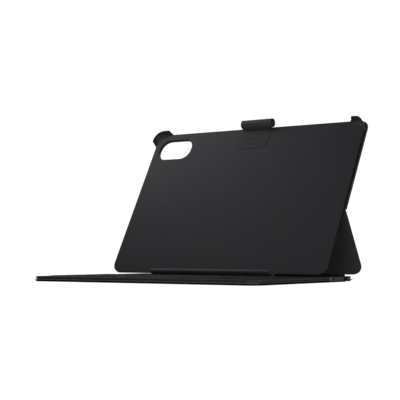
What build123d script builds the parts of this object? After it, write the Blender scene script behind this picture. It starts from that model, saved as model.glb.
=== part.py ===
"""Tablet keyboard case: a folio with a wireless keyboard in its base and a folding stand.

X runs across the case, Y from the typing edge to the back, Z up. The origin is the middle of
the base's underside. The stand is drawn as it is used: the ledge rests on the keyboard deck
and the rear flap props the tablet plate.
"""

from build123d import *
import math
import os

os.makedirs("parts", exist_ok=True)

# ---------------------------------------------------------------- driving dimensions (mm)
# Keyboard base
BASE_W, BASE_D, BASE_R = 283.0, 194.0, 12.0
BASE_T = 5.0  # floor to keyboard deck
FLANGE_Z, FLANGE_T, FLANGE_OUT = 1.4, 0.8, 1.7  # welt of the bottom cover
GROOVE_TOP, GROOVE_IN = 3.2, 0.8  # shadow gap above the welt
DECK_T = 1.0
WALL = 5.5  # width of the solid rim round the electronics bay
PAN_T = 0.5

# Keys
PITCH, FN_PITCH = 17.8, 11.0  # row pitch, and that of the shallow function row
KEY_UNIT, KEY_GAP = 18.0, 2.4
KEYS_BACK_Y = 22.0
CAP_Z, CAP_H, CAP_R = 4.35, 1.25, 1.6  # underside of a cap at rest, height, corner
CAP_CLEAR = 0.35

# Side port block, let into the rim beside the electronics bay
PORT_Y0, PORT_Y1, PORT_Z0 = 41.9, 82.9, 0.8
PORT_X0, PORT_X1 = BASE_W / 2 - WALL, 142.9
SOCKET_Y, SOCKET_Z, SOCKET_W, SOCKET_H = 73.7, 2.65, 8.94, 3.26
LIGHT_Y, LIGHT_Z, LIGHT_R = 48.1, 2.75, 1.25

# Stand: tablet plate, back cover, rear flap and spine
LEAN = 29.07  # plate from the vertical, degrees
PLATE_Y, PLATE_Z = 34.36, 7.67  # bottom edge of the plate's front face
PLATE_W, PLATE_H, PLATE_T, PLATE_R = 283.0, 190.1, 2.0, 12.5
COVER_MARGIN = 2.0  # how far the back cover stands out around the plate
COVER_W, FLAP_W = PLATE_W + 2 * COVER_MARGIN, 285.6
SKIN_T, BOARD_T, LINING_T = 0.6, 0.9, 0.3
COVER_T = 2.1  # back cover: skin and its thicker board
FOLD_S = 78.3  # fold line, measured up the plate
FLAP_LEAN = 30.3  # flap from the vertical, degrees
FLAP_EDGE, FLAP_L, FLAP_R = 5.9, 84.1, 13.0  # panel edge and fold, measured from the lower hinge
SPINE_HALF = 119.5
HINGE_ROLL = 0.5  # radius of the skin's bend at a living hinge
SPINE_AXIS_Y = 99.0
SPINE_Z = 0.2

# Camera opening, measured on the plate
CAMERA_X, CAMERA_S, CAMERA_W, CAMERA_H, CAMERA_R = -109.95, 167.5, 47.0, 27.3, 12.5

# Tablet holders
TABLET_T = 7.6
CLIP_DEPTH, CLIP_WALL, CLIP_LIP, CLIP_LIP_T = 9.4, 1.3, 0.8, 1.6
# Where each corner clip ends, on the top edge and on the side edge. The right one is shorter.
LEFT_CLIP_ENDS, RIGHT_CLIP_ENDS = (121.3, 174.0), (127.0, 177.5)
LEDGE_X, LEDGE_ROOT_X, LEDGE_DEPTH = 77.5, 80.5, 9.0
SLEEVE_R, SLEEVE_BORE_R, SLEEVE_L = 5.05, 4.3, 41.4
SLEEVE_X, SLEEVE_S, SLEEVE_D = 0.9, 195.1, 1.7

# ---------------------------------------------------------------- planes of the leaning panels
lean = math.radians(LEAN)
plate_plane = Plane(
    origin=(0, PLATE_Y, PLATE_Z), x_dir=(1, 0, 0), z_dir=(0, -math.cos(lean), math.sin(lean))
)
fold_point = plate_plane.from_local_coords(Vector(0, FOLD_S, -PLATE_T - COVER_T))
flap_lean = math.radians(FLAP_LEAN)
flap_down = Vector(0, math.sin(flap_lean), -math.cos(flap_lean))
flap_foot = fold_point + flap_down * FLAP_L
flap_plane = Plane(
    origin=flap_foot, x_dir=(1, 0, 0), z_dir=(0, -math.cos(flap_lean), -math.sin(flap_lean))
)


def keep(piece, name):
    """Label a finished piece and write it as its own STEP file."""
    piece.part.label = name
    export_step(piece.part, f"parts/{name}.step")


# ---------------------------------------------------------------- key layout
# Each row lists (group, width in key units). Rows run from the back of the keyboard.
KEY_ROWS = (
    [("function_keys", 1.0)] * 15,
    [("number_keys", 1.0)] * 13 + [("backspace_key", 2.0)],
    [("tab_key", 1.5)] + [("top_letter_keys", 1.0)] * 12 + [("top_letter_keys", 1.5)],
    [("caps_lock_key", 1.75)] + [("home_letter_keys", 1.0)] * 11 + [("enter_key", 2.25)],
    [("left_shift_key", 2.25)] + [("bottom_letter_keys", 1.0)] * 10 + [("right_shift_key", 2.75)],
    [("left_modifier_keys", 1.0)] * 3 + [("left_modifier_keys", 1.25)] + [("space_bar", 5.5)]
    + [("right_modifier_keys", 1.25), ("right_modifier_keys", 1.0)],
)
ROW_UNITS = 15


def key_cells():
    """Every key as (group, x, y, width, depth), worked out row by row."""
    cells = []
    row_back = KEYS_BACK_Y
    for index, row in enumerate(KEY_ROWS):
        pitch = FN_PITCH if index == 0 else PITCH
        left = -ROW_UNITS * KEY_UNIT / 2
        y = row_back - pitch / 2
        for group, units in row:
            width = units * KEY_UNIT
            cells.append((group, left + width / 2, y, width - KEY_GAP, pitch - KEY_GAP))
            left += width
        row_back -= pitch
    # Arrow keys: half-height keys in an inverted T at the end of the last row.
    half_depth = (PITCH - KEY_GAP - 0.6) / 2
    half_step = (half_depth + 0.6) / 2
    for column, steps in enumerate(((-1,), (-1, 1), (-1,))):
        for step in steps:
            x = left + (column + 0.5) * KEY_UNIT
            cells.append(("arrow_keys", x, y + step * half_step, KEY_UNIT - KEY_GAP, half_depth))
    return cells


cells = key_cells()
groups = list(dict.fromkeys(cell[0] for cell in cells))
key_field = (ROW_UNITS * KEY_UNIT, FN_PITCH + 5 * PITCH)
key_field_y = KEYS_BACK_Y - key_field[1] / 2


# ---------------------------------------------------------------- base shells
def port_pocket():
    """Sketch of the pocket in the rim for the side port block; it runs out past the flange."""
    reach = 2 * (PORT_X1 - PORT_X0)
    with BuildSketch(mode=Mode.PRIVATE) as pocket:
        with Locations((PORT_X0 + reach / 2, (PORT_Y0 + PORT_Y1) / 2)):
            Rectangle(reach, PORT_Y1 - PORT_Y0)
    return pocket.sketch


with BuildPart() as base_cover:
    with BuildSketch(Plane.XY.offset(FLANGE_Z)):
        RectangleRounded(
            BASE_W + 2 * FLANGE_OUT, BASE_D + 2 * FLANGE_OUT, BASE_R + FLANGE_OUT
        )
    extrude(amount=FLANGE_T)
    fillet(base_cover.edges().group_by(Axis.Z)[0] + base_cover.edges().group_by(Axis.Z)[-1], 0.35)
    with BuildSketch(Plane.XY.offset(FLANGE_Z)):
        RectangleRounded(BASE_W - 2 * WALL + 2, BASE_D - 2 * WALL + 2, BASE_R - 4)
    extrude(amount=FLANGE_T, mode=Mode.SUBTRACT)
    with BuildSketch():
        RectangleRounded(BASE_W - 0.4, BASE_D - 0.4, BASE_R)
    extrude(amount=FLANGE_Z)
    fillet(base_cover.edges().group_by(Axis.Z)[0], 0.25)
    with BuildSketch(Plane.XY.offset(PORT_Z0)):
        add(port_pocket())
    extrude(amount=BASE_T, mode=Mode.SUBTRACT)
keep(base_cover, "base_cover")

with BuildPart() as bottom_pan:
    bay = (BASE_W - 2 * WALL, BASE_D - 2 * WALL, BASE_R - 5)
    with BuildSketch(Plane.XY.offset(FLANGE_Z)):
        RectangleRounded(bay[0] + 2, bay[1] + 2, bay[2] + 1)
    extrude(amount=FLANGE_T)
    with BuildSketch(Plane.XY.offset(FLANGE_Z + FLANGE_T)):
        RectangleRounded(BASE_W - 2 * GROOVE_IN, BASE_D - 2 * GROOVE_IN, BASE_R - GROOVE_IN)
    extrude(amount=GROOVE_TOP - FLANGE_Z - FLANGE_T)
    with BuildSketch(Plane.XY.offset(FLANGE_Z + PAN_T)):
        RectangleRounded(*bay)
    extrude(amount=BASE_T, mode=Mode.SUBTRACT)
    with BuildSketch(Plane.XY.offset(PORT_Z0)):
        add(port_pocket())
    extrude(amount=BASE_T, mode=Mode.SUBTRACT)
keep(bottom_pan, "bottom_pan")

with BuildPart() as keyboard_deck:
    with BuildSketch(Plane.XY.offset(GROOVE_TOP)):
        RectangleRounded(BASE_W, BASE_D, BASE_R)
    extrude(amount=BASE_T - GROOVE_TOP)
    chamfer(keyboard_deck.edges().group_by(Axis.Z)[-1], 0.5)
    fillet(keyboard_deck.edges().group_by(Axis.Z)[-1], 0.2)
    with BuildSketch(Plane.XY.offset(GROOVE_TOP)):
        RectangleRounded(*bay)
    extrude(amount=BASE_T - DECK_T - GROOVE_TOP, mode=Mode.SUBTRACT)
    with BuildSketch(Plane.XY.offset(BASE_T - DECK_T)):
        for _, x, y, width, depth in cells:
            with Locations((x, y)):
                RectangleRounded(width + 2 * CAP_CLEAR, depth + 2 * CAP_CLEAR, CAP_R)
    extrude(amount=2 * DECK_T, mode=Mode.SUBTRACT)
    with BuildSketch(Plane.XY.offset(PORT_Z0)):
        add(port_pocket())
    extrude(amount=2 * BASE_T, mode=Mode.SUBTRACT)
keep(keyboard_deck, "keyboard_deck")

# ---------------------------------------------------------------- side port block
side_plane = Plane(origin=(PORT_X1, 0, 0), x_dir=(0, 1, 0), z_dir=(1, 0, 0))

with BuildPart() as port_block:
    with BuildSketch(side_plane):
        with Locations(((PORT_Y0 + PORT_Y1) / 2, (PORT_Z0 + BASE_T) / 2)):
            Rectangle(PORT_Y1 - PORT_Y0, BASE_T - PORT_Z0)
    extrude(amount=-(PORT_X1 - PORT_X0))
    outer_ends = port_block.edges().filter_by(Axis.Z).group_by(Axis.X)[-1]
    fillet(outer_ends, 1.6)
    fillet(port_block.edges().group_by(Axis.Z)[-1].sort_by(Axis.X)[-3:], 0.7)
    with BuildSketch(side_plane):
        with Locations((SOCKET_Y, SOCKET_Z)):
            SlotOverall(SOCKET_W + 0.3, SOCKET_H + 0.2)
        with Locations((LIGHT_Y, LIGHT_Z)):
            Circle(LIGHT_R + 0.05)
    extrude(amount=-20, mode=Mode.SUBTRACT)
keep(port_block, "port_block")

with BuildPart() as charge_socket:
    with BuildSketch(side_plane):
        with Locations((SOCKET_Y, SOCKET_Z)):
            SlotOverall(SOCKET_W, SOCKET_H)
    extrude(amount=-6.8)
    with BuildSketch(side_plane):
        with Locations((SOCKET_Y, SOCKET_Z)):
            SlotOverall(SOCKET_W - 0.6, SOCKET_H - 0.6)
    extrude(amount=-6.2, mode=Mode.SUBTRACT)
keep(charge_socket, "charge_socket")

with BuildPart() as socket_tongue:
    with BuildSketch(side_plane.offset(-0.8)):
        with Locations((SOCKET_Y, SOCKET_Z)):
            Rectangle(6.7, 0.7)
    extrude(amount=-5.4)
    fillet(socket_tongue.edges().filter_by(Axis.Z).group_by(Axis.X)[-1], 0.5)
keep(socket_tongue, "socket_tongue")

with BuildPart() as status_light:
    with BuildSketch(side_plane.offset(-0.15)):
        with Locations((LIGHT_Y, LIGHT_Z)):
            Circle(LIGHT_R)
    extrude(amount=-6.4)
    fillet(status_light.edges().group_by(Axis.X)[-1], 0.2)
keep(status_light, "status_light")

# ---------------------------------------------------------------- electronics under the deck
PAN_FLOOR = FLANGE_Z + PAN_T
SHEET_T = 0.3

with BuildPart() as key_backplate:
    with BuildSketch(Plane.XY.offset(PAN_FLOOR)):
        with Locations((0, key_field_y)):
            RectangleRounded(key_field[0], key_field[1], 2)
            with GridLocations(KEY_UNIT, PITCH, 14, 5):
                Circle(1.5, mode=Mode.SUBTRACT)
    extrude(amount=SHEET_T)
keep(key_backplate, "key_backplate")

MEMBRANE_Z = PAN_FLOOR + SHEET_T
MEMBRANE_T = 0.2
TAIL_X, TAIL_W, TAIL_END_Y = 73.0, 14.0, 52.0

with BuildPart() as membrane_circuit:
    with BuildSketch(Plane.XY.offset(MEMBRANE_Z)):
        with Locations((0, key_field_y)):
            RectangleRounded(key_field[0] - 2, key_field[1] - 2, 2)
        with Locations((TAIL_X, (key_field_y + TAIL_END_Y) / 2)):
            Rectangle(TAIL_W, TAIL_END_Y - key_field_y)
    extrude(amount=MEMBRANE_T)
keep(membrane_circuit, "membrane_circuit")

DOME_Z = MEMBRANE_Z + MEMBRANE_T
DOME_BASE_T, DOME_H, DOME_R = 0.2, 0.35, 1.9

with BuildPart() as dome_sheet:
    with BuildSketch(Plane.XY.offset(DOME_Z)):
        with Locations((0, key_field_y)):
            RectangleRounded(key_field[0] - 3, key_field[1] - 3, 2)
    extrude(amount=DOME_BASE_T)
    with BuildSketch(Plane.XY.offset(DOME_Z + DOME_BASE_T)):
        with Locations(*[(x, y) for _, x, y, _, _ in cells]):
            Circle(DOME_R)
    extrude(amount=DOME_H, taper=40)
keep(dome_sheet, "dome_sheet")

LINK_Z, LINK_T, LINK_W = DOME_Z + DOME_BASE_T, 0.4, 0.9

with BuildPart() as scissor_links:
    with BuildSketch(Plane.XY.offset(LINK_Z)):
        for _, x, y, width, depth in cells:
            link_w, link_d = min(width, 13.2) - 2.4, depth - 1.4
            with Locations((x, y)):
                Rectangle(link_w, link_d)
                Rectangle(link_w - 2 * LINK_W, link_d - 2 * LINK_W, mode=Mode.SUBTRACT)
    extrude(amount=LINK_T)
keep(scissor_links, "scissor_links")

BATTERY_X, BATTERY_Y, BATTERY_W, BATTERY_D, BATTERY_T = -58.0, 64.0, 104.0, 42.0, 1.9

with BuildPart() as battery_cell:
    with BuildSketch(Plane.XY.offset(PAN_FLOOR)):
        with Locations((BATTERY_X, BATTERY_Y)):
            RectangleRounded(BATTERY_W, BATTERY_D, 2)
    extrude(amount=BATTERY_T)
    fillet(battery_cell.edges().group_by(Axis.Z)[-1], 0.4)
keep(battery_cell, "battery_cell")

BOARD_X0, BOARD_X1, BOARD_Y0, BOARD_Y1 = 44.0, 135.4, 50.0, 84.0
CIRCUIT_Z, CIRCUIT_T = PAN_FLOOR + 0.15, 0.6
board_centre = ((BOARD_X0 + BOARD_X1) / 2, (BOARD_Y0 + BOARD_Y1) / 2)
screw_grid = (BOARD_X1 - BOARD_X0 - 8, BOARD_Y1 - BOARD_Y0 - 6)
SCREW_R, SCREW_HEAD_R = 0.7, 1.4

with BuildPart() as main_board:
    with BuildSketch(Plane.XY.offset(CIRCUIT_Z)):
        with Locations(board_centre):
            Rectangle(BOARD_X1 - BOARD_X0, BOARD_Y1 - BOARD_Y0)
            with GridLocations(*screw_grid, 2, 2):
                Circle(SCREW_R + 0.1, mode=Mode.SUBTRACT)
        with Locations((TAIL_X, TAIL_END_Y - 4)):
            Rectangle(TAIL_W + 2, 9, mode=Mode.SUBTRACT)
    extrude(amount=CIRCUIT_T)
keep(main_board, "main_board")

CHIP_Z = CIRCUIT_Z + CIRCUIT_T

# Chips on the board, as (x, y, width, depth): processor, two drivers, radio module, two regulators.
CHIPS = (
    (62, 70, 9, 9), (84, 62, 6, 4), (84, 76, 6, 4), (104, 68, 15, 12), (122, 62, 4, 5), (122, 78, 4, 5),
)
CHIP_T = 1.0

with BuildPart() as board_chips:
    with BuildSketch(Plane.XY.offset(CHIP_Z)):
        for x, y, width, depth in CHIPS:
            with Locations((x, y)):
                Rectangle(width, depth)
    extrude(amount=CHIP_T)
keep(board_chips, "board_chips")

with BuildPart() as board_screws:
    with BuildSketch(Plane.XY.offset(PAN_FLOOR)):
        with Locations(board_centre):
            with GridLocations(*screw_grid, 2, 2):
                Circle(SCREW_R)
    extrude(amount=CHIP_Z - PAN_FLOOR)
    with BuildSketch(Plane.XY.offset(CHIP_Z)):
        with Locations(board_centre):
            with GridLocations(*screw_grid, 2, 2):
                Circle(SCREW_HEAD_R)
                RegularPolygon(0.6, 6, mode=Mode.SUBTRACT)
    extrude(amount=0.6)
keep(board_screws, "board_screws")

LEAD_X0, LEAD_Y, LEAD_W, LEAD_T = BATTERY_X + BATTERY_W / 2, 66.0, 4.0, 0.6

with BuildPart() as battery_lead:
    with BuildSketch(Plane.XY.offset(CIRCUIT_Z)):
        with Locations(((LEAD_X0 + BOARD_X0) / 2, LEAD_Y)):
            Rectangle(BOARD_X0 - LEAD_X0, LEAD_W)
    extrude(amount=LEAD_T)
keep(battery_lead, "battery_lead")

MAGNET_R, MAGNET_T = 4.0, 1.8
DOCK_Y, DOCK_STEP, DOCK_W, DOCK_D = 32.0, 34.0, 26.0, 6.0  # bar magnets under the ledge
CLOSING_Y, CLOSING_SPAN = -84.5, 236.0

with BuildPart() as dock_magnets:
    with BuildSketch(Plane.XY.offset(PAN_FLOOR)):
        with Locations((0, DOCK_Y)):
            with GridLocations(DOCK_STEP, 1, 4, 1):
                RectangleRounded(DOCK_W, DOCK_D, 0.6)
    extrude(amount=MAGNET_T)
keep(dock_magnets, "dock_magnets")

with BuildPart() as closing_magnets:
    with BuildSketch(Plane.XY.offset(PAN_FLOOR)):
        with Locations((0, CLOSING_Y)):
            with GridLocations(CLOSING_SPAN, 1, 2, 1):
                Circle(MAGNET_R)
    extrude(amount=MAGNET_T)
keep(closing_magnets, "closing_magnets")


# ---------------------------------------------------------------- key caps
def cap_outlines(name, inset):
    """Sketch of a group's caps, each drawn in from its outline by an inset."""
    with BuildSketch(mode=Mode.PRIVATE) as outlines:
        for group, x, y, width, depth in cells:
            if group == name:
                with Locations((x, y)):
                    RectangleRounded(width - 2 * inset, depth - 2 * inset, CAP_R - inset * 0.7)
    return outlines.sketch


CAP_SKIRT, CAP_SKIRT_W = 0.7, 0.9

for name in groups:
    with BuildPart() as key_caps:
        with BuildSketch(Plane.XY.offset(CAP_Z)):
            add(cap_outlines(name, 0.0))
        extrude(amount=CAP_H, taper=7)
        fillet(key_caps.edges().group_by(Axis.Z)[-1], 0.3)
        with BuildSketch(Plane.XY.offset(CAP_Z)):
            add(cap_outlines(name, CAP_SKIRT_W))
        extrude(amount=CAP_SKIRT, mode=Mode.SUBTRACT)
    keep(key_caps, name)

# ---------------------------------------------------------------- spine
SPINE_Y0, SPINE_Y1 = SPINE_AXIS_Y + 0.6, flap_foot.Y - HINGE_ROLL - 0.7
spine_mid = (SPINE_Y0 + SPINE_Y1) / 2
spine_len = SPINE_Y1 - SPINE_Y0


def spine_layer(inset, z, thickness):
    """One flat layer of the spine, between its two hinges."""
    with BuildPart() as layer:
        with BuildSketch(Plane.XY.offset(z)):
            with Locations((0, spine_mid)):
                RectangleRounded(2 * (SPINE_HALF - inset), spine_len - 2 * inset, 0.8)
        extrude(amount=thickness)
    return layer


spine_skin = spine_layer(0.0, SPINE_Z, SKIN_T)
keep(spine_skin, "spine_skin")
spine_board = spine_layer(1.2, SPINE_Z + SKIN_T, BOARD_T)
keep(spine_board, "spine_board")
spine_lining = spine_layer(0.4, SPINE_Z + SKIN_T + BOARD_T, LINING_T)
keep(spine_lining, "spine_lining")

with BuildPart() as spine_hinge_strip:
    with BuildSketch(Plane.XY.offset(0.1)):
        with Locations((0, BASE_D / 2)):
            Rectangle(2 * SPINE_HALF, 2 * (SPINE_AXIS_Y + 0.3 - BASE_D / 2))
    extrude(amount=SKIN_T)
    add(base_cover.part, mode=Mode.SUBTRACT)
keep(spine_hinge_strip, "spine_hinge_strip")


def hinge_roll(point, half_length, radius):
    """The skin's bend at a living hinge, as a slim roll on the hinge axis."""
    with BuildPart() as roll:
        with BuildSketch(Plane(origin=(-half_length, point.Y, point.Z), z_dir=(1, 0, 0))):
            Circle(radius)
        extrude(amount=2 * half_length)
    return roll


flap_hinge_strip = hinge_roll(flap_foot, SPINE_HALF, HINGE_ROLL)
keep(flap_hinge_strip, "flap_hinge_strip")
fold_strip = hinge_roll(fold_point, FLAP_W / 2 - 0.5, HINGE_ROLL - 0.1)
keep(fold_strip, "fold_strip")

# ---------------------------------------------------------------- rear flap
FLAP_TOP = FLAP_L - 0.8
FLAP_MAGNETS = (180.0, 52.0, 2, 2)  # spacing across and up, and counts


def flap_layer(inset, lift, thickness, tongue=False, holes=False):
    """One layer of the flap. Its lower corners are rounded; the skin has a tongue to the hinge."""
    low, high = FLAP_EDGE + inset, FLAP_TOP - inset
    with BuildPart() as layer:
        with BuildSketch(flap_plane.offset(lift)):
            with BuildSketch() as panel:
                with Locations((0, (low + high) / 2)):
                    Rectangle(FLAP_W - 2 * inset, high - low)
                fillet(panel.vertices().group_by(Axis.Y)[0], FLAP_R)
            if tongue:
                with Locations((0, (HINGE_ROLL + 0.4 + low) / 2 + 0.5)):
                    Rectangle(2 * SPINE_HALF, low - HINGE_ROLL + 0.6)
            if holes:
                with Locations((0, (low + high) / 2)):
                    with GridLocations(*FLAP_MAGNETS):
                        Circle(MAGNET_R + 0.1, mode=Mode.SUBTRACT)
        extrude(amount=thickness)
    return layer


flap_skin = flap_layer(0.0, 0.0, SKIN_T, tongue=True)
keep(flap_skin, "flap_skin")
flap_board = flap_layer(1.0, SKIN_T, BOARD_T, holes=True)
keep(flap_board, "flap_board")
flap_lining = flap_layer(0.3, SKIN_T + BOARD_T, LINING_T)
keep(flap_lining, "flap_lining")

with BuildPart() as flap_magnets:
    with BuildSketch(flap_plane.offset(SKIN_T)):
        with Locations((0, (FLAP_EDGE + FLAP_TOP) / 2)):
            with GridLocations(*FLAP_MAGNETS):
                Circle(MAGNET_R)
    extrude(amount=BOARD_T)
keep(flap_magnets, "flap_magnets")


# ---------------------------------------------------------------- back cover and tablet plate
def camera_opening(grow):
    """The camera opening's outline, grown by a margin."""
    with BuildSketch(mode=Mode.PRIVATE) as opening:
        with Locations((CAMERA_X, CAMERA_S)):
            RectangleRounded(CAMERA_W + 2 * grow, CAMERA_H + 2 * grow, CAMERA_R + grow)
    return opening.sketch


def cover_layer(inset, lift, thickness, grow):
    """One layer of the back cover, from the fold up to the top edge."""
    low = FOLD_S + 0.8 + inset
    high = PLATE_H + COVER_MARGIN - inset
    with BuildPart() as layer:
        with BuildSketch(plate_plane.offset(lift)):
            with BuildSketch() as panel:
                with Locations((0, (low + high) / 2)):
                    Rectangle(COVER_W - 2 * inset, high - low)
                fillet(panel.vertices().group_by(Axis.Y)[-1], PLATE_R + COVER_MARGIN - inset)
            add(camera_opening(grow), mode=Mode.SUBTRACT)
        extrude(amount=thickness)
    return layer


back_skin = cover_layer(0.0, -PLATE_T - COVER_T, SKIN_T, 0.0)
keep(back_skin, "back_skin")
back_board = cover_layer(COVER_MARGIN + 0.8, -PLATE_T - COVER_T + SKIN_T, COVER_T - SKIN_T, 0.3)
keep(back_board, "back_board")

with BuildPart() as tablet_plate:
    with BuildSketch(plate_plane):
        with Locations((0, PLATE_H / 2)):
            RectangleRounded(PLATE_W, PLATE_H, PLATE_R)
        add(camera_opening(0.0), mode=Mode.SUBTRACT)
    extrude(amount=-PLATE_T)
    front_face = tablet_plate.faces().sort_by(Axis((0, 0, 0), plate_plane.z_dir))[-1]
    fillet(front_face.edges(), 0.6)
keep(tablet_plate, "tablet_plate")


# ---------------------------------------------------------------- tablet holders
def section_plane(x):
    """Plane across the plate at one x. Its first axis runs up the plate, its second forwards."""
    return Plane(
        origin=plate_plane.from_local_coords(Vector(x, 0, 0)),
        x_dir=plate_plane.y_dir, z_dir=(1, 0, 0),
    )


def edge_plane(s):
    """Plane across the plate at one height. Its first axis is X, its second runs backwards."""
    return Plane(
        origin=plate_plane.from_local_coords(Vector(0, s, 0)),
        x_dir=(1, 0, 0), z_dir=plate_plane.y_dir,
    )


CLIP_SLOPE = 1.5  # how far a clip's end leans back over its depth


def clip_outline(side, end_x, end_s, inset):
    """The band of the plate's outline that a corner clip covers, inset wide."""
    reach_x, reach_s = PLATE_W / 2 - end_x, PLATE_H - end_s
    with BuildSketch(mode=Mode.PRIVATE) as ring:
        with Locations((0, PLATE_H / 2)):
            RectangleRounded(PLATE_W, PLATE_H, PLATE_R)
            RectangleRounded(
                PLATE_W - 2 * inset, PLATE_H - 2 * inset, PLATE_R - inset, mode=Mode.SUBTRACT
            )
        with Locations((side * (end_x + reach_x / 2), end_s + reach_s / 2)):
            Rectangle(reach_x, reach_s, mode=Mode.INTERSECT)
    return ring.sketch


def corner_clip(side, end_x, end_s):
    """A corner wall that follows the plate's outline, with a lip over the tablet's face."""
    with BuildPart() as clip:
        with BuildSketch(plate_plane):
            add(clip_outline(side, end_x, end_s, CLIP_WALL))
        extrude(amount=CLIP_DEPTH)
        with BuildSketch(plate_plane.offset(CLIP_DEPTH - CLIP_LIP_T)):
            add(clip_outline(side, end_x, end_s, CLIP_WALL + CLIP_LIP))
        extrude(amount=CLIP_LIP_T)
        with BuildSketch(plate_plane):
            add(clip_outline(side, end_x, end_s, CLIP_WALL + 0.8))
        extrude(amount=0.7)
        # The two ends of the wall lean back towards the corner as they rise from the plate.
        with BuildSketch(edge_plane(PLATE_H + 1)):
            with BuildLine():
                Polyline(
                    (side * end_x, 0.1), (side * (end_x + CLIP_SLOPE), -CLIP_DEPTH - 1),
                    (side * (end_x - 1), -CLIP_DEPTH - 1), (side * (end_x - 1), 0.1), close=True,
                )
            make_face()
        extrude(amount=-CLIP_WALL - CLIP_LIP - 2, mode=Mode.SUBTRACT)
        with BuildSketch(section_plane(side * (PLATE_W / 2 + 1))):
            with BuildLine():
                Polyline(
                    (end_s, -0.1), (end_s + CLIP_SLOPE, CLIP_DEPTH + 1),
                    (end_s - 1, CLIP_DEPTH + 1), (end_s - 1, -0.1), close=True,
                )
            make_face()
        extrude(amount=-side * (CLIP_WALL + CLIP_LIP + 2), mode=Mode.SUBTRACT)
    return clip


left_corner_clip = corner_clip(-1, *LEFT_CLIP_ENDS)
keep(left_corner_clip, "left_corner_clip")
right_corner_clip = corner_clip(1, *RIGHT_CLIP_ENDS)
keep(right_corner_clip, "right_corner_clip")

# The ledge's section, as (distance up the plate, distance in front of it).
LEDGE_FLOOR, LEDGE_FOOT, LEDGE_LIP_TOP = -1.6, -3.0, 0.5

with BuildPart() as bottom_ledge:
    with BuildSketch(section_plane(-LEDGE_ROOT_X)):
        with BuildLine():
            Polyline(
                (0, 0), (0, -1.6), (LEDGE_FOOT, 0.4), (LEDGE_FOOT, LEDGE_DEPTH - 0.9),
                (LEDGE_FOOT + 0.9, LEDGE_DEPTH), (LEDGE_LIP_TOP - 0.8, LEDGE_DEPTH - 0.1),
                (LEDGE_LIP_TOP, LEDGE_DEPTH - 0.7), (LEDGE_LIP_TOP, TABLET_T + 0.1),
                (LEDGE_FLOOR, TABLET_T + 0.1), (LEDGE_FLOOR, 0), close=True,
            )
        make_face()
    extrude(amount=2 * LEDGE_ROOT_X)
    with BuildSketch(edge_plane(LEDGE_FOOT - 1)):
        with BuildLine():
            Polyline(
                (-LEDGE_ROOT_X, 2), (LEDGE_ROOT_X, 2), (LEDGE_X, -LEDGE_DEPTH - 0.2),
                (-LEDGE_X, -LEDGE_DEPTH - 0.2), close=True,
            )
        make_face()
    extrude(amount=6, mode=Mode.INTERSECT)
keep(bottom_ledge, "bottom_ledge")

with BuildPart() as ledge_pad:
    with BuildSketch(section_plane(-LEDGE_X + 6)):
        with Locations((LEDGE_FLOOR + 0.2, TABLET_T / 2)):
            Rectangle(0.4, TABLET_T - 1.2)
    extrude(amount=2 * LEDGE_X - 12)
keep(ledge_pad, "ledge_pad")

# ---------------------------------------------------------------- pen sleeve
TAB_W, TAB_LOW_S, TAB_T, TAB_R = 42.0, 162.0, 0.3, 9.0
TAB_MARK_S, TAB_MARK_W, TAB_MARK_H = 175.0, 27.0, 12.5  # pressed oval and slit
NECK_T = 1.2

with BuildPart() as sleeve_tab:
    tab_high = SLEEVE_S - SLEEVE_R - 0.1
    with BuildSketch(plate_plane):
        with BuildSketch() as tab:
            with Locations((0, (TAB_LOW_S + tab_high) / 2)):
                Rectangle(TAB_W, tab_high - TAB_LOW_S)
            fillet(tab.vertices().group_by(Axis.Y)[0], TAB_R)
    extrude(amount=TAB_T)
    with BuildSketch(plate_plane.offset(TAB_T / 2)):
        with Locations((0, TAB_MARK_S)):
            SlotOverall(TAB_MARK_W, TAB_MARK_H)
            SlotOverall(TAB_MARK_W - 1.6, TAB_MARK_H - 1.6, mode=Mode.SUBTRACT)
            SlotOverall(16, 1.4)
    extrude(amount=TAB_T, mode=Mode.SUBTRACT)
keep(sleeve_tab, "sleeve_tab")

with BuildPart() as pen_sleeve:
    with BuildSketch(section_plane(SLEEVE_X - SLEEVE_L / 2)):
        with Locations((SLEEVE_S, SLEEVE_D)):
            Circle(SLEEVE_R)
        # A neck carries the sleeve from the tab's top edge.
        with Locations((SLEEVE_S - SLEEVE_R + 0.9, NECK_T / 2 - 0.15)):
            Rectangle(2.0, NECK_T)
        with Locations((SLEEVE_S, SLEEVE_D)):
            Circle(SLEEVE_BORE_R, mode=Mode.SUBTRACT)
    extrude(amount=SLEEVE_L)
keep(pen_sleeve, "pen_sleeve")
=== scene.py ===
"""Looks for the tablet keyboard case: soft skins, moulded holders, materials, light and camera.

Lengths are written in millimetres and scaled by MM. Panels are drawn in the frame of the CAD
panel that they cover: x across, y up the panel, z out of its drawn face.
"""

import math

import bmesh
import bpy
from mathutils import Matrix, Vector


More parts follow.
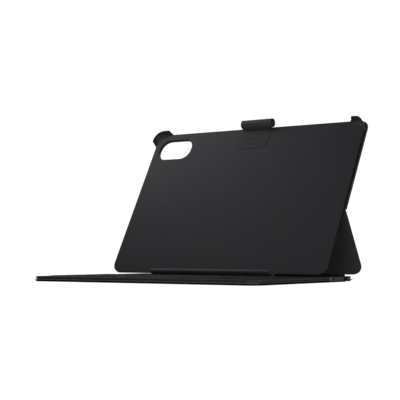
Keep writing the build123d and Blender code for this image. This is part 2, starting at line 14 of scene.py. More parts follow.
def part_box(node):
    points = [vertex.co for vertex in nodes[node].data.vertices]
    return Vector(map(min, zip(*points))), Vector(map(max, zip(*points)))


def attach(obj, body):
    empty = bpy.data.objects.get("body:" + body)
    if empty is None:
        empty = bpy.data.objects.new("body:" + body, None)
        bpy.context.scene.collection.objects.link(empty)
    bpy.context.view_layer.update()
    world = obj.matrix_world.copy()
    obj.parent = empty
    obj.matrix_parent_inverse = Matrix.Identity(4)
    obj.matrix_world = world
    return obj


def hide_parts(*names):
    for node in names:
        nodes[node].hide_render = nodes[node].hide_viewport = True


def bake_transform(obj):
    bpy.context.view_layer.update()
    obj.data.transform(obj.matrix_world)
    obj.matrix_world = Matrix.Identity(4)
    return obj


MM = 0.001
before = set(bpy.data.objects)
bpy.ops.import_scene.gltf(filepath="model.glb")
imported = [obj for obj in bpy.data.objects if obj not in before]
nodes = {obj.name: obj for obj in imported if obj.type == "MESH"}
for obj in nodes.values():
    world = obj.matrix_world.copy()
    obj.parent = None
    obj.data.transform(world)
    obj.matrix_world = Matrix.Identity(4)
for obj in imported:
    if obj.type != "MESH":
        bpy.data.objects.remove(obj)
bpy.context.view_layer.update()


# ---------------------------------------------------------------- panel frames, read from the CAD
def panel_frame(node, facing):
    """The frame of a node's largest flat face towards one side, on that face's lower edge."""
    areas = {}
    for polygon in nodes[node].data.polygons:
        normal = polygon.normal
        if normal.dot(Vector(facing)) > 0.5:
            key = tuple(round(value, 3) for value in normal)
            areas[key] = areas.get(key, 0.0) + polygon.area
    z_axis = Vector(max(areas, key=areas.get)).normalized()
    x_axis = Vector((1, 0, 0))
    y_axis = z_axis.cross(x_axis).normalized()
    points = [vertex.co for vertex in nodes[node].data.vertices]
    low = min(point.dot(y_axis) for point in points)
    high = max(point.dot(z_axis) for point in points)
    turn = Matrix((x_axis, y_axis, z_axis)).transposed().to_4x4()
    return Matrix.Translation(y_axis * low + z_axis * high) @ turn


def extent(node, place):
    """A node's lowest and highest corner in a panel's frame, in millimetres."""
    back = place.inverted()
    points = [back @ vertex.co / MM for vertex in nodes[node].data.vertices]
    low = Vector([min(point[i] for point in points) for i in range(3)])
    high = Vector([max(point[i] for point in points) for i in range(3)])
    return low, high


plate = panel_frame("tablet_plate", (0, -0.87, 0.49))
flap_face = panel_frame("flap_lining", (0, -0.86, -0.5))
spine_face = panel_frame("spine_lining", (0, 0, 1))
plate_half_width, plate_height = extent("tablet_plate", plate)[1].xy
plate_facing = plate.col[2].xyz
plate_face = plate_facing.dot(plate.translation / MM)  # the plate's face, as a distance along it


# ---------------------------------------------------------------- material helpers
def nodes_of(name):
    """A new material with its node tree, its shader and its links."""
    material = bpy.data.materials.new(name)
    material.use_nodes = True
    tree = material.node_tree
    return material, tree, tree.nodes["Principled BSDF"]


def coordinates(tree, scale=(1, 1, 1)):
    """Object coordinates stretched by a scale."""
    source = tree.nodes.new("ShaderNodeTexCoord")
    mapping = tree.nodes.new("ShaderNodeMapping")
    mapping.inputs["Scale"].default_value = scale
    tree.links.new(source.outputs["Object"], mapping.inputs["Vector"])
    return mapping.outputs["Vector"]


def noise(tree, vector, size, detail=3.0, rough=0.5):
    """Noise whose features are about one size across, in millimetres."""
    node = tree.nodes.new("ShaderNodeTexNoise")
    node.inputs["Scale"].default_value = 1 / (size * MM)
    node.inputs["Detail"].default_value = detail
    node.inputs["Roughness"].default_value = rough
    tree.links.new(vector, node.inputs["Vector"])
    return node.outputs["Fac"]


def cells(tree, vector, size, feature="F1"):
    """Cellular pattern of one size, in millimetres."""
    node = tree.nodes.new("ShaderNodeTexVoronoi")
    node.feature = feature
    node.inputs["Scale"].default_value = 1 / (size * MM)
    tree.links.new(vector, node.inputs["Vector"])
    return node.outputs["Distance"]


def ramp(tree, value, low, high):
    """A value spread over a range: a number to a number, or a colour to a colour."""
    node = tree.nodes.new("ShaderNodeMix" if isinstance(low, tuple) else "ShaderNodeMapRange")
    if isinstance(low, tuple):
        node.data_type = "RGBA"
        tree.links.new(value, node.inputs["Factor"])
        node.inputs[6].default_value = (*low, 1)
        node.inputs[7].default_value = (*high, 1)
        return node.outputs[2]
    node.inputs["To Min"].default_value = low
    node.inputs["To Max"].default_value = high
    tree.links.new(value, node.inputs["Value"])
    return node.outputs["Result"]


def bumps(tree, shader, layers):
    """Bump from several (height, depth in mm) layers, one on another."""
    normal = None
    for height, depth in layers:
        node = tree.nodes.new("ShaderNodeBump")
        node.inputs["Strength"].default_value = 1.0
        node.inputs["Distance"].default_value = depth * MM
        tree.links.new(height, node.inputs["Height"])
        if normal:
            tree.links.new(normal, node.inputs["Normal"])
        normal = node.outputs["Normal"]
    tree.links.new(normal, shader.inputs["Normal"])


def grey(level, tint=0.05):
    """A grey with a slight cool tint."""
    return (level, level, level * (1 + tint))


def moulded(name, level, roughness, grain=0.25, depth=0.006, metal=0.0, specular=0.5,
            spread=0.12, blotch=22.0):
    """Moulded or painted surface: fine grain, faint cloudiness, roughness that follows both."""
    material, tree, shader = nodes_of(name)
    vector = coordinates(tree)
    fine = noise(tree, vector, grain, detail=2.0)
    cloud = noise(tree, vector, blotch, detail=3.0)
    colour = ramp(tree, cloud, grey(level * (1 - spread)), grey(level * (1 + spread)))
    tree.links.new(colour, shader.inputs["Base Color"])
    tree.links.new(ramp(tree, fine, roughness - 0.08, roughness + 0.08), shader.inputs["Roughness"])
    shader.inputs["Metallic"].default_value = metal
    shader.inputs["Specular IOR Level"].default_value = specular
    bumps(tree, shader, [(cloud, depth * 2), (fine, depth)])
    return material


def leather(name, level, roughness, pebble=0.55, depth=0.05, specular=0.4):
    """Pebbled polyurethane skin: small cells, creases between them, and gentle wear."""
    material, tree, shader = nodes_of(name)
    vector = coordinates(tree)
    pebbles = cells(tree, vector, pebble, "SMOOTH_F1")
    creases = noise(tree, vector, pebble * 3, detail=4.0)
    wear = noise(tree, vector, 35.0, detail=4.0)
    tone = ramp(tree, pebbles, grey(level * 1.15), grey(level * 0.8))
    worn = tree.nodes.new("ShaderNodeMix")
    worn.data_type = "RGBA"
    worn.blend_type = "MULTIPLY"
    worn.inputs["Factor"].default_value = 0.5
    tree.links.new(tone, worn.inputs[6])
    tree.links.new(ramp(tree, wear, grey(0.75, 0.0), grey(1.25, 0.0)), worn.inputs[7])
    tree.links.new(worn.outputs[2], shader.inputs["Base Color"])
    tree.links.new(ramp(tree, wear, roughness - 0.07, roughness + 0.09), shader.inputs["Roughness"])
    shader.inputs["Specular IOR Level"].default_value = specular
    bumps(tree, shader, [(creases, depth * 0.6), (pebbles, -depth)])
    return material


def microfibre(name, level):
    """Short-napped lining: fine fibres in two directions, with a soft sheen."""
    material, tree, shader = nodes_of(name)
    across = noise(tree, coordinates(tree, (1, 6, 6)), 0.5, detail=4.0, rough=0.7)
    along = noise(tree, coordinates(tree, (6, 1, 1)), 0.6, detail=4.0, rough=0.7)
    brushed = noise(tree, coordinates(tree), 18.0, detail=3.0)
    tree.links.new(
        ramp(tree, brushed, grey(level * 0.8), grey(level * 1.25)),
        shader.inputs["Base Color"],
    )
    tree.links.new(ramp(tree, across, 0.85, 1.0), shader.inputs["Roughness"])
    shader.inputs["Specular IOR Level"].default_value = 0.15
    shader.inputs["Sheen Weight"].default_value = 0.15
    shader.inputs["Sheen Roughness"].default_value = 0.5
    bumps(tree, shader, [(across, 0.05), (along, 0.04)])
    return material


def rubber(name, level, roughness):
    """Matte elastomer with a fine sandy skin."""
    return moulded(name, level, roughness, grain=0.12, depth=0.01, specular=0.45, spread=0.08)


def printed_sheet(name, low, high, size):
    """A sheet with a repeated cellular print, such as a circuit or membrane."""
    material, tree, shader = nodes_of(name)
    vector = coordinates(tree)
    pattern = cells(tree, vector, size)
    tree.links.new(ramp(tree, pattern, low, high), shader.inputs["Base Color"])
    tree.links.new(ramp(tree, noise(tree, vector, 3.0), 0.35, 0.6), shader.inputs["Roughness"])
    bumps(tree, shader, [(pattern, 0.03)])
    return material


def steel(name, level, roughness):
    """Drawn steel with fine lines along its length."""
    material, tree, shader = nodes_of(name)
    drawn = noise(tree, coordinates(tree, (1, 30, 30)), 2.0, detail=4.0)
    tree.links.new(ramp(tree, drawn, grey(level * 0.85), grey(level)), shader.inputs["Base Color"])
    tree.links.new(ramp(tree, drawn, roughness, roughness + 0.15), shader.inputs["Roughness"])
    shader.inputs["Metallic"].default_value = 1.0
    bumps(tree, shader, [(drawn, 0.01)])
    return material


def tone_between(material, gain, walls):
    """Multiplies a material's colour by a gain inside all of some walls.

    A wall is (direction, least distance along it in millimetres, whether it holds on both sides).
    """
    tree = material.node_tree
    base = tree.nodes["Principled BSDF"].inputs["Base Color"]
    place = coordinates(tree)
    inside = None
    for direction, distance, both_sides in walls:
        where = place
        if both_sides:
            fold = tree.nodes.new("ShaderNodeVectorMath")
            fold.operation = "ABSOLUTE"
            tree.links.new(place, fold.inputs[0])
            where = fold.outputs[0]
        along = tree.nodes.new("ShaderNodeVectorMath")
        along.operation = "DOT_PRODUCT"
        along.inputs[1].default_value = direction
        tree.links.new(where, along.inputs[0])
        past = tree.nodes.new("ShaderNodeMath")
        past.operation = "GREATER_THAN"
        past.inputs[1].default_value = distance * MM
        tree.links.new(along.outputs["Value"], past.inputs[0])
        if inside:
            both = tree.nodes.new("ShaderNodeMath")
            both.operation = "MULTIPLY"
            tree.links.new(inside, both.inputs[0])
            tree.links.new(past.outputs[0], both.inputs[1])
            inside = both.outputs[0]
        else:
            inside = past.outputs[0]
    mix = tree.nodes.new("ShaderNodeMix")
    mix.data_type = "RGBA"
    mix.blend_type = "MULTIPLY"
    mix.inputs["Factor"].default_value = 1.0
    tree.links.new(base.links[0].from_socket, mix.inputs[6])
    tree.links.new(ramp(tree, inside, (1.0,) * 3, (gain,) * 3), mix.inputs[7])
    tree.links.new(mix.outputs[2], base)
    return material


def lens(name):
    """Smoked clear lens of the status light."""
    material, tree, shader = nodes_of(name)
    speck = noise(tree, coordinates(tree), 0.4, detail=2.0)
    tree.links.new(ramp(tree, speck, grey(0.02), grey(0.05)), shader.inputs["Base Color"])
    tree.links.new(ramp(tree, speck, 0.12, 0.25), shader.inputs["Roughness"])
    shader.inputs["Coat Weight"].default_value = 0.5
    return material


SKIN = leather("folio_skin", 0.035, 0.55)
# A copy of the folio skin for the back cover, which takes a painted highlight along its edge.
COVER_SKIN_PAINTED_EDGE_LIGHT = leather("folio_skin_painted_edge_light", 0.035, 0.55)
# The skin of the base cover and the layer under it: its low level is painted shade, and the face
# tones below paint a highlight band on its welt and lighten its underside.
BASE_SKIN_PAINTED_SHADE_AND_LIGHT = leather("base_skin_painted_shade_and_light", 0.01, 0.6, specular=0.2)
CLIP = moulded("clip_plastic", 0.05, 0.5, grain=0.2, depth=0.006)
LINING = microfibre("folio_lining", 0.068)
PLATE = moulded("plate_plastic", 0.030, 0.62, grain=0.22, depth=0.008)
DECK = moulded("deck_plastic", 0.042, 0.6, grain=0.3, depth=0.012)
KEYS = moulded("key_plastic", 0.026, 0.5, grain=0.18, depth=0.006, blotch=9.0)
HOLDER = moulded("holder_plastic", 0.064, 0.5, grain=0.2, depth=0.006)
PORT = moulded("port_plastic", 0.15, 0.45, grain=0.2, depth=0.005)
SLEEVE = rubber("sleeve_rubber", 0.082, 0.6)
TAB = rubber("sleeve_tab", 0.030, 0.62)
PAD = rubber("pad_rubber", 0.02, 0.8)
INNER = moulded("inner_plastic", 0.05, 0.6, grain=0.4)
BOARD = moulded("stiff_board", 0.035, 0.85, grain=0.6, depth=0.03)
SOCKET = steel("socket_steel", 0.42, 0.3)
SHEET = steel("sheet_steel", 0.5, 0.35)
MEMBRANE = printed_sheet("membrane_film", (0.25, 0.3, 0.32), (0.5, 0.52, 0.5), 2.0)
DOMES = rubber("dome_rubber", 0.35, 0.6)
POUCH = moulded("battery_pouch", 0.35, 0.35, grain=1.5, depth=0.05, metal=0.8)
CIRCUIT = printed_sheet("circuit_board", (0.01, 0.05, 0.03), (0.02, 0.12, 0.06), 1.2)
CHIPS = moulded("chip_plastic", 0.02, 0.5, grain=0.15)
LEAD = printed_sheet("lead_film", (0.25, 0.11, 0.03), (0.4, 0.2, 0.06), 1.0)
MAGNET = steel("magnet_metal", 0.55, 0.25)
LENS = lens("light_lens")

BY_SLOT = {
    "folio_skin": SKIN, "folio_lining": LINING, "stiff_board": BOARD, "deck_plastic": DECK,
    "inner_plastic": INNER, "port_plastic": PORT, "plate_plastic": PLATE, "holder_plastic": HOLDER,
    "pad_rubber": PAD, "sleeve_rubber": SLEEVE, "key_plastic": KEYS, "light_lens": LENS,
    "socket_steel": SOCKET, "sheet_steel": SHEET, "membrane_film": MEMBRANE, "dome_rubber": DOMES,
    "battery_pouch": POUCH, "circuit_board": CIRCUIT, "chip_plastic": CHIPS, "lead_film": LEAD,
    "magnet_metal": MAGNET,
}


def dress_cad_nodes():
    """Every CAD node takes the better material of its slot, which its own material is named after."""
    for node in nodes.values():
        for slot in node.material_slots:
            slot.material = BY_SLOT[slot.material.name.split(".")[0]]
    nodes["sleeve_tab"].material_slots[0].material = TAB
    # The base cover takes the darker skin, whose low level is painted shade.
    nodes["base_cover"].material_slots[0].material = BASE_SKIN_PAINTED_SHADE_AND_LIGHT


# ---------------------------------------------------------------- painted light and shade on single faces
RIGHT, FRONT, UP, DOWN = (1, 0, 0), (0, -1, 0), (0, 0, 1), (0, 0, -1)
WELT_LOW, WELT_HIGH = 1.6, 2.25  # heights of the welt round the base cover
DECK_WALL_TOP, DECK_FRONT, DECK_SIDE = 4.4, 90.0, 139.8  # where the deck's walls are
UNDER_SKIN = 0.38  # thickness of the soft layer under the base
CLIP_RIM_HEIGHT, CLIP_FOOT_HEIGHT = 8.7, 2.7  # heights over the plate's face
FACE = 0.02  # half the depth of the band that holds one flat face


def paint_light_and_shade():
    """Paints highlights and shade onto single faces, fitted to how they look from the main view."""
    # Painted highlight: the welt band round the base cover is lightened fourteen times.
    tone_between(BASE_SKIN_PAINTED_SHADE_AND_LIGHT, 14.0, [(UP, WELT_LOW, False), (DOWN, -WELT_HIGH, False)])
    # Painted shade: the deck's front wall, below its top edge, is darkened.
    tone_between(DECK, 0.55, [(DOWN, -DECK_WALL_TOP, False), (FRONT, DECK_FRONT, False)])
    # Painted shade: the plate's side edges are darkened, for the dark line beside the plate.
    tone_between(PLATE, 0.4, [(RIGHT, plate_half_width - 0.3, True)])
    # Painted light: the deck's right end is lightened, as if lit from that side.
    tone_between(DECK, 2.2, [(RIGHT, DECK_SIDE, False)])
    # Painted light: the bottom faces of the base and of the layer under it are lightened six times
    # over the base's painted shade, so the underside shows.
    tone_between(BASE_SKIN_PAINTED_SHADE_AND_LIGHT, 6.0, [(DOWN, UNDER_SKIN - FACE, False)])
    tone_between(BASE_SKIN_PAINTED_SHADE_AND_LIGHT, 6.0, [(DOWN, -FACE, False), (UP, -FACE, False)])
    # Painted light: the clips' outer walls beside the plate are lightened.
    tone_between(CLIP, 2.6, [(RIGHT, plate_half_width + 0.1, True)])
    # Painted shade: the clips' rims are darkened to a dark line.
    tone_between(CLIP, 0.2, [(plate_facing, plate_face + CLIP_RIM_HEIGHT, False)])
    # Painted light: the clips' feet are lightened, where the plate round them looks unshaded.
    tone_between(CLIP, 1.3, [(-plate_facing, -plate_face - CLIP_FOOT_HEIGHT, False)])


# ---------------------------------------------------------------- mesh helpers
def rounded_loop(x0, x1, y0, y1, radii, steps=10):
    """Points round a rectangle, anticlockwise from its lower left corner, one radius a corner."""
    starts = ((x0, y0, 1, 1, 2), (x1, y0, -1, 1, 3), (x1, y1, -1, -1, 0), (x0, y1, 1, -1, 1))
    points = []
    for (x, y, to_x, to_y, quarter), radius in zip(starts, radii):
        radius = max(radius, 0.05)
        for step in range(steps + 1):
            angle = (quarter + step / steps) * math.pi / 2
            points.append((
                x + to_x * radius + radius * math.cos(angle),
                y + to_y * radius + radius * math.sin(angle),
            ))
    return points


def finish_piece(mesh, name, material, smooth_angle=40):
    """A bmesh as a shaded object with its material and slot."""
    bmesh.ops.remove_doubles(mesh, verts=mesh.verts, dist=0.002 * MM)
    bmesh.ops.recalc_face_normals(mesh, faces=mesh.faces)
    for face in mesh.faces:
        face.smooth = True
    for edge in mesh.edges:
        if len(edge.link_faces) == 2:
            edge.smooth = edge.calc_face_angle(0.0) < math.radians(smooth_angle)
    data = bpy.data.meshes.new(name)
    mesh.to_mesh(data)
    mesh.free()
    data.materials.append(material)
    piece = bpy.data.objects.new(name, data)
    bpy.context.scene.collection.objects.link(piece)
    return piece


def bridge(mesh, low, high):
    """Quads between two closed rings of the same count."""
    for i in range(len(low)):
        j = (i + 1) % len(low)
        mesh.faces.new((low[i], low[j], high[j], high[i]))


def ring_edges(mesh, ring):
    """The edges round a closed ring."""
    return [mesh.edges.get((ring[i], ring[(i + 1) % len(ring)])) for i in range(len(ring))]


def panel(name, place, levels, outlines, material):
    """A sheet with shaped edges: one ring for each (inset, height) level, capped at both ends.

    outlines holds functions from an inset to a loop of points; the first is the outer edge.
    """
    mesh = bmesh.new()
    caps = ([], [])
    for outline in outlines:
        rings = []
        for inset, height in levels:
            loop = [place @ (Vector((x, y, height)) * MM) for x, y in outline(inset)]
            rings.append([mesh.verts.new(point) for point in loop])
        for low, high in zip(rings, rings[1:]):
            bridge(mesh, low, high)
        caps[0].extend(ring_edges(mesh, rings[0]))
        caps[1].extend(ring_edges(mesh, rings[-1]))
    for edges in caps:
        bmesh.ops.triangle_fill(mesh, use_beauty=True, use_dissolve=False, edges=edges)
    return finish_piece(mesh, name, material)


def arc_levels(inset, height, radius, start, steps=4):
    """(inset, height) points of a quarter turn about a centre, from an angle in quarter turns."""
    return [
        (inset - radius * math.cos((start + i / steps) * math.pi / 2),
         height + radius * math.sin((start + i / steps) * math.pi / 2))
        for i in range(steps + 1)
    ]


SUPPORT = 0.8  # width of the flat ring that keeps a cap's shading flat


def sheet_levels(low, high, radius):
    """The edge of a sheet between two heights, rounded on both sides."""
    under = arc_levels(radius, low + radius, radius, -1)
    over = arc_levels(radius, high - radius, radius, 0)
    return [(radius + SUPPORT, low)] + under + over + [(radius + SUPPORT, high)]


def tray_levels(depth, skin, rim, round_under=0.35):
    """A skin turned up round a board: outer face at 0, inner face at skin, rim up to depth."""
    edge = rim / 2
    inside = [(rim + SUPPORT, skin), (rim + 0.02, skin), (rim, depth - edge)]
    top = arc_levels(edge, depth - edge, edge, 1)[::-1]
    outside = arc_levels(round_under, round_under, round_under, -1)[::-1]
    return inside + top + outside + [(round_under + SUPPORT, 0.0)]


# ---------------------------------------------------------------- folio panels
PLATE_R, COVER_R, FLAP_R = 12.5, 11.5, 13.0
SEWN_R = 0.3  # corners that run into a hinge
TRAY_RIM = 0.9  # width of the rim of a skin that is turned up round its board
LINING_INSET, LINING_EDGE = 0.55, 0.14  # a lining's gap from the rim, and how round its edge is
COVER_EDGE_R = 0.28  # how round the back cover's edge is
FLAP_WRAP = 1.0  # how far the flap's skin goes past its board at the foot
CAMERA_X, CAMERA_S, CAMERA_W, CAMERA_H, CAMERA_R = -109.95, 167.5, 47.0, 27.3, 12.5


def camera_loop(grow):
    """The camera opening, grown by a margin."""
    return rounded_loop(
        CAMERA_X - CAMERA_W / 2 - grow, CAMERA_X + CAMERA_W / 2 + grow,
        CAMERA_S - CAMERA_H / 2 - grow, CAMERA_S + CAMERA_H / 2 + grow,
        (CAMERA_R + grow,) * 4, steps=14,
    )


def make_back_cover():
    """The outer skin behind the tablet plate, from the fold to the top edge."""
    low, high = extent("back_skin", plate)

    def outline(inset):
        return rounded_loop(
            low.x + inset, high.x - inset, low.y + inset, high.y - inset,
            (SEWN_R, SEWN_R, COVER_R - inset, COVER_R - inset),
        )

    # Painted highlight: the bare front of the skin beside the plate is lightened, to paint the light
    # line there.
    front = plate_face + high.z - 0.3
    tone_between(
        COVER_SKIN_PAINTED_EDGE_LIGHT, 3.6, [(RIGHT, plate_half_width + 0.3, True), (plate_facing, front, False)]
    )
    piece = panel(
        "back_cover_skin", plate, sheet_levels(low.z, high.z, COVER_EDGE_R),
        [outline, camera_loop], COVER_SKIN_PAINTED_EDGE_LIGHT,
    )
    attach(piece, "tablet_holder")
    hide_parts("back_skin")


def make_flap():
    """The flap's skin, turned up round its board, and the microfibre lining inside it."""
    low, high = extent("flap_lining", flap_face)
    skin_low, skin_high = extent("flap_skin", flap_face)
    board_low = extent("flap_board", flap_face)[0]
    edge_x, edge_low = skin_high.x, board_low.y - FLAP_WRAP
    outer = flap_face @ Matrix.Translation(Vector((0, 0, skin_low.z)) * MM)

    def outline(inset):
        return rounded_loop(
            -edge_x + inset, edge_x - inset, edge_low + inset, skin_high.y - inset,
            (FLAP_R - inset, FLAP_R - inset, SEWN_R, SEWN_R),
        )

    depth = low.z - skin_low.z
    skin = panel(
        "flap_outer_skin", outer, tray_levels(depth, skin_high.z - skin_low.z, TRAY_RIM),
        [outline], SKIN,
    )
    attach(skin, "flap")
    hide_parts("flap_skin")

    lining = panel(
        "flap_inner_lining", flap_face, sheet_levels(low.z, high.z, LINING_EDGE),
        [lambda inset: outline(inset + LINING_INSET)], LINING,
    )
    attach(lining, "flap")
    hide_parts("flap_lining")


def make_spine():
    """The spine's skin tray and lining, lying between its two hinges."""
    low, high = extent("spine_skin", spine_face)
    lining_low, lining_high = extent("spine_lining", spine_face)
    under = spine_face @ Matrix.Translation(Vector((0, 0, low.z)) * MM)

    def outline(inset):
        return rounded_loop(
            low.x + inset, high.x - inset, low.y + inset, high.y - inset, (1.2 - inset / 2,) * 4
        )

    skin = panel(
        "spine_outer_skin", under, tray_levels(lining_low.z - low.z, high.z - low.z, TRAY_RIM),
        [outline], SKIN,
    )
    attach(skin, "spine")
    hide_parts("spine_skin")
    lining = panel(
        "spine_inner_lining", spine_face,
        sheet_levels(lining_low.z, lining_high.z, LINING_EDGE),
        [lambda inset: outline(inset + LINING_INSET)], LINING,
    )
    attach(lining, "spine")
    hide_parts("spine_lining")


UNDER_SKIN_INSET, UNDER_SKIN_R, UNDER_SKIN_BACK_R = 0.6, 13.0, 3.0
UNDER_SKIN_BACK = 76.0  # the soft layer stops short of where the spine folds under the base


def make_base_skin():
    """A soft layer of skin under the base, whose CAD cover is slightly too thin without it."""
    low, high = (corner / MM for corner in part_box("base_cover"))

    def outline(inset):
        inset += UNDER_SKIN_INSET
        return rounded_loop(
            low.x + inset, high.x - inset, low.y + inset, UNDER_SKIN_BACK - inset,
            (UNDER_SKIN_R - inset, UNDER_SKIN_R - inset, UNDER_SKIN_BACK_R, UNDER_SKIN_BACK_R),
        )

    piece = panel(
        "base_under_skin", Matrix.Identity(4), sheet_levels(-UNDER_SKIN, 0.05, 0.2), [outline],
        BASE_SKIN_PAINTED_SHADE_AND_LIGHT,
    )
    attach(piece, "base")


# ---------------------------------------------------------------- living hinges
HINGE_SKIN = 0.5  # thickness of a hinge's strip
# A strip's ends get thinner, as (distance from the end, share of the thickness).
END_TAPER = [(0.0, 0.55), (0.15, 0.85), (0.4, 1.0)]


def curve_between(start, start_way, end, end_way, steps=14, fullness=0.9):
    """A smooth (y, z) path from one point and direction to another."""
    pull = (end - start).length * fullness
    path = []
    for i in range(steps + 1):
        t = i / steps
        path.append(
            start * (2 * t**3 - 3 * t**2 + 1) + start_way * pull * (t**3 - 2 * t**2 + t)
            + end * (3 * t**2 - 2 * t**3) + end_way * pull * (t**3 - t**2)
        )
    return path


def hinge_skin(name, path, half_width, replaced):
    """A strip of skin that follows a curved (y, z) path across a hinge, between two bodies."""
    ways = [(b - a).normalized() for a, b in zip(path, path[1:])]
    ways = [ways[0]] + [(a + b).normalized() for a, b in zip(ways, ways[1:])] + [ways[-1]]
    sides = [Vector((-way.y, way.x)) * HINGE_SKIN / 2 for way in ways]
    section = [p + s for p, s in zip(path, sides)] + [p - s for p, s in zip(path, sides)][::-1]
    centre_count = len(path)
    places = [(back - half_width, shrink) for back, shrink in END_TAPER]
    places += [(half_width - back, shrink) for back, shrink in reversed(END_TAPER)]
    mesh = bmesh.new()
    rings = []
    for x, shrink in places:
        ring = []
        for i, point in enumerate(section):
            middle = path[i] if i < centre_count else path[2 * centre_count - 1 - i]
            y, z = middle + (point - middle) * shrink
            ring.append(mesh.verts.new(Vector((x, y, z)) * MM))
        rings.append(ring)
    for low, high in zip(rings, rings[1:]):
        bridge(mesh, low, high)
    for ring in (rings[0], rings[-1]):
        for i in range(centre_count - 1):
            mesh.faces.new((ring[i], ring[i + 1], ring[-2 - i], ring[-1 - i]))
    piece = finish_piece(mesh, name, SKIN, smooth_angle=60)
    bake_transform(piece)
    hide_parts(replaced)


def in_side_view(place, up, out):
    """The (y, z) of a point of a panel's frame, in millimetres."""
    point = place @ (Vector((0, up, out)) * MM) / MM
    return Vector((point.y, point.z))


def way_of(place):
    """The (y, z) direction up a panel."""
    axis = place.col[1]
    return Vector((axis.y, axis.z)).normalized()


def make_hinges():
    """Skin strips from base to spine, spine to flap, and flap to back cover."""
    flat = Vector((1, 0))
    strip_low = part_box("spine_hinge_strip")[0] / MM
    spine_low, spine_high = (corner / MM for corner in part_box("spine_skin"))
    half = spine_high.x
    skin_mid = (spine_low.z + spine_high.z) / 2
    base_path = curve_between(
        Vector((strip_low.y - 0.2, 0.45)), flat, Vector((spine_low.y + 0.5, skin_mid)), flat
    )
    hinge_skin("base_hinge_skin", base_path, half, "spine_hinge_strip")

    flap_low, flap_high = extent("flap_skin", flap_face)
    board_low = extent("flap_board", flap_face)[0]
    flap_mid = (flap_low.z + flap_high.z) / 2
    up_flap = way_of(flap_face)
    bend = curve_between(
        Vector((spine_high.y - 0.5, skin_mid)), flat,
        in_side_view(flap_face, flap_low.y + 1.2, flap_mid), up_flap, steps=16,
    )
    foot = board_low.y - FLAP_WRAP
    tongue = [in_side_view(flap_face, foot + further, flap_mid) for further in (-1.6, 0.6)]
    hinge_skin("flap_hinge_skin", bend + tongue, half, "flap_hinge_strip")

    cover_low, cover_high = extent("back_skin", plate)
    cover_mid = (cover_low.z + cover_high.z) / 2
    fold = curve_between(
        in_side_view(flap_face, flap_high.y - 0.5, flap_mid), up_flap,
        in_side_view(plate, cover_low.y + 0.5, cover_mid), way_of(plate),
    )
    hinge_skin("fold_skin", fold, flap_high.x - 0.4, "fold_strip")


# ---------------------------------------------------------------- corner clips
# Where each clip ends, on the top edge and on the side edge.
LEFT_CLIP_ENDS, RIGHT_CLIP_ENDS = (121.3, 174.0), (123.3, 177.8)
# The shape of those two ends, as (lean, spread of the foot, height of the foot).
LEFT_CLIP_SHAPES = (0.05, 0.3, 2.5), (0.15, 0.8, 2.5)
RIGHT_CLIP_SHAPES = (0.36, 1.8, 2.5), (0.45, 0.3, 2.5)
RIGHT_CLIP_R = 10.5  # the right clip goes tighter round its corner than the plate does
CLIP_TIP, TIP_ROUND = 8.0, 0.2  # height over which a clip's end rounds off, and how fast
CLIP_WALL = 1.3  # inset of the clip's inner wall
FILLET_TOP, FILLET_RUN_OUT = 3.0, 9.0  # height of the fillet inside the foot, and its tapered length
# The clip's section as (inset from the plate's outline, height over its face).
CLIP_OUTSIDE = [(-0.25, -1.8), (-0.3, 0.0), (-0.35, 5.0), (-0.3, 8.1), (-0.15, 9.0), (0.2, 9.35)]
CLIP_RIM = [(0.7, 9.4), (1.2, 9.3), (1.7, 9.1), (2.05, 8.75), (2.1, 8.4), (1.8, 8.05), (1.35, 7.8)]
CLIP_RIBS = [
    (1.3, 7.3), (1.3, 5.9), (1.52, 5.7), (1.52, 4.4), (1.74, 4.2), (1.74, 3.0), (2.0, 2.1),
    (2.5, 1.2), (3.2, 0.55), (4.0, 0.2), (5.0, 0.02),
]
CLIP_ROOT = [(5.0, -0.25), (0.5, -0.25), (0.5, -1.8)]
CLIP_SECTION = CLIP_OUTSIDE + CLIP_RIM + CLIP_RIBS + CLIP_ROOT


def outline_point(start, radius, length, inset):
    """A point along the plate's top right corner from one x, drawn in from the edge by an inset."""
    straight = plate_half_width - radius - start
    turn = radius * math.pi / 2
    if length < straight:
        return start + length, plate_height - inset
    if length < straight + turn:
        angle = math.pi / 2 - (length - straight) / radius
        reach = radius - inset
        return (
            plate_half_width - radius + reach * math.cos(angle),
            plate_height - radius + reach * math.sin(angle),
        )
    return plate_half_width - inset, plate_height - radius - (length - straight - turn)


def swept(name, section, place_point, steps, material, smooth_angle=50):
    """A closed section carried from share 0 to share 1 of a sweep, with flat ends."""
    mesh = bmesh.new()
    rings = []
    for step in range(steps + 1):
        ring = [mesh.verts.new(place_point(point, step / steps)) for point in section]
        rings.append(ring)
    for low, high in zip(rings, rings[1:]):
        bridge(mesh, low, high)
    for ring in (rings[0], rings[-1]):
        bmesh.ops.triangle_fill(
            mesh, use_beauty=True, use_dissolve=False, edges=ring_edges(mesh, ring)
        )
    return finish_piece(mesh, name, material, smooth_angle)


def soften(piece, width):
    """Rounds a piece's sharp edges."""
    bevel = piece.modifiers.new("soft_edges", "BEVEL")
    bevel.width = width * MM
    bevel.segments = 3
    bevel.limit_method = "ANGLE"
    bevel.angle_limit = math.radians(55)


def clip_end(height, lean, foot, foot_height):
    """How far a clip's end stands back at one height: a leaning wall, a spread foot, a round tip."""
    spread = foot * max(0.0, 1 - max(height, 0.0) / foot_height) ** 2
    return lean * height - spread + TIP_ROUND * max(0.0, height - CLIP_TIP) ** 2


